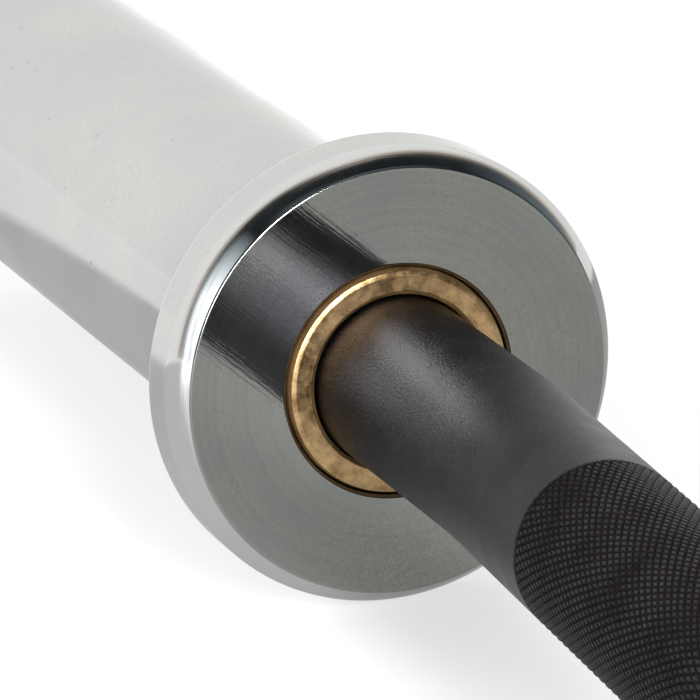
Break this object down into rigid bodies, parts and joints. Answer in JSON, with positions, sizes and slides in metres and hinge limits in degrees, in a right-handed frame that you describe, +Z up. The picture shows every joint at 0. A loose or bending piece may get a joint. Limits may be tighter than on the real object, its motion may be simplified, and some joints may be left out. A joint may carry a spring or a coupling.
{
  "type": "ez curl bar",
  "caption": "Cambered curl bar with knurled grips and a free-turning plate sleeve with a collar on each end.",
  "frame": {"origin": "on the floor, at the centre of the bar's footprint as it lies on its two collars and the middle of its camber", "axes": "+X along the sleeves' common axis, +Z up, the peaks of the camber towards -Y"},
  "size_m": [1.283, 0.0956, 0.0753],
  "materials": {
    "black_steel": "satin black, knurled on the grips",
    "zinc_steel": "bright zinc over turned steel",
    "bronze": "sintered bronze, machined",
    "washer_steel": "plain steel",
    "spring_steel": "blackened spring steel",
    "end_cap": "bright zinc, turned"
  },
  "bodies": {
    "shaft_assembly": {"shaft": "black_steel", "left_inner_thrust_washer": "washer_steel", "left_outer_thrust_washer": "washer_steel", "left_shaft_ring": "spring_steel", "right_inner_thrust_washer": "washer_steel", "right_outer_thrust_washer": "washer_steel", "right_shaft_ring": "spring_steel"},
    "left_sleeve": {"left_collar": "zinc_steel", "left_sleeve_tube": "zinc_steel", "left_inner_bushing": "bronze", "left_outer_bushing": "bronze", "left_end_cap": "end_cap", "left_end_cap_ring": "spring_steel"},
    "right_sleeve": {"right_collar": "zinc_steel", "right_sleeve_tube": "zinc_steel", "right_inner_bushing": "bronze", "right_outer_bushing": "bronze", "right_end_cap": "end_cap", "right_end_cap_ring": "spring_steel"}
  },
  "joints": [
    {"name": "left_sleeve_spin", "type": "hinge", "parent": "shaft_assembly", "child": "left_sleeve", "pos_m": [-0.439, -0.01021, 0.03763], "axis": [1, 0, 0], "continuous": true},
    {"name": "right_sleeve_spin", "type": "hinge", "parent": "shaft_assembly", "child": "right_sleeve", "pos_m": [0.439, -0.01021, 0.03763], "axis": [1, 0, 0], "continuous": true}
  ]
}
